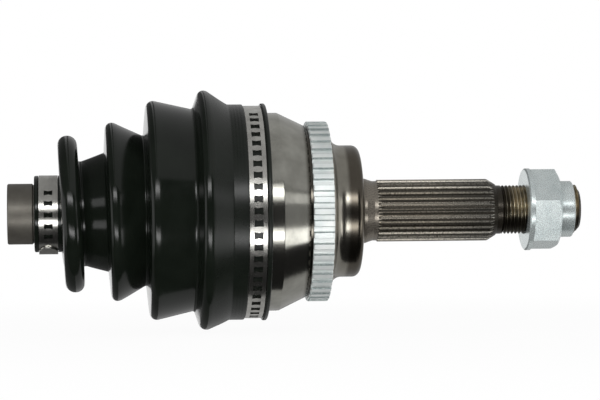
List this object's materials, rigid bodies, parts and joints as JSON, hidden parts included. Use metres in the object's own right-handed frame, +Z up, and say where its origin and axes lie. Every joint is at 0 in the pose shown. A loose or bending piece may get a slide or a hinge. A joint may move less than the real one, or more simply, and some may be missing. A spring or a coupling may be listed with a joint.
{
  "type": "drive shaft",
  "caption": "Wheel-side half of a front drive shaft: constant-velocity ball joint with splined stub, hub nut, tooth ring, clamped rubber boot and steel bar.",
  "frame": {"origin": "on the shaft's axis, in the plane of the shoulder that the wheel hub seats against", "axes": "+X along the axis towards the wheel and hub nut, +Z up, the picture is seen from -Y"},
  "size_m": [0.2353, 0.098, 0.098],
  "materials": {
    "forged_steel": "turned and oiled steel",
    "zinc_plate": "bright zinc plate",
    "clamp_steel": "bright stainless strip",
    "hardened_steel": "ground, greased steel",
    "ball_steel": "polished steel",
    "spring_steel": "oil-blackened spring steel",
    "bar_steel": "dark rolled steel",
    "boot_rubber": "soft-sheen black rubber"
  },
  "bodies": {
    "outer_joint": {"outer_joint_body": "forged_steel", "abs_ring": "zinc_plate", "hub_nut": "zinc_plate", "boot": "boot_rubber", "large_clamp": "clamp_steel"},
    "bump_link": {"upper_ball": "ball_steel"},
    "ball_cage": {"cage": "hardened_steel", "front_upper_ball": "ball_steel", "front_lower_ball": "ball_steel", "rear_upper_ball": "ball_steel", "rear_lower_ball": "ball_steel"},
    "steer_link": {"lower_ball": "ball_steel"},
    "bar": {"inner_race": "hardened_steel", "drive_bar": "bar_steel", "bar_circlip": "spring_steel", "stop_ring": "spring_steel", "small_clamp": "clamp_steel"}
  },
  "joints": [
    {"name": "bump_at_bell", "type": "hinge", "parent": "outer_joint", "child": "bump_link", "pos_m": [-0.04099, 0, 0], "axis": [0, 1, 0], "range_deg": [-6, 6], "deforming": ["boot"]},
    {"name": "steer", "type": "hinge", "parent": "bump_link", "child": "steer_link", "pos_m": [-0.04099, 0, 0], "axis": [0, 0, 1], "range_deg": [-42, 42], "deforming": ["boot"]},
    {"name": "cage_half_steer", "type": "hinge", "parent": "bump_link", "child": "ball_cage", "pos_m": [-0.04099, 0, 0], "axis": [0, 0, 1], "range_deg": [-21, 21]},
    {"name": "bump_at_bar", "type": "hinge", "parent": "steer_link", "child": "bar", "pos_m": [-0.04099, 0, 0], "axis": [0, 1, 0], "range_deg": [-6, 6], "deforming": ["boot"]}
  ],
  "couplings": [
    {"joint": "cage_half_steer", "follows": "steer", "ratio": 0.5},
    {"joint": "bump_at_bar", "follows": "bump_at_bell", "ratio": 1}
  ]
}
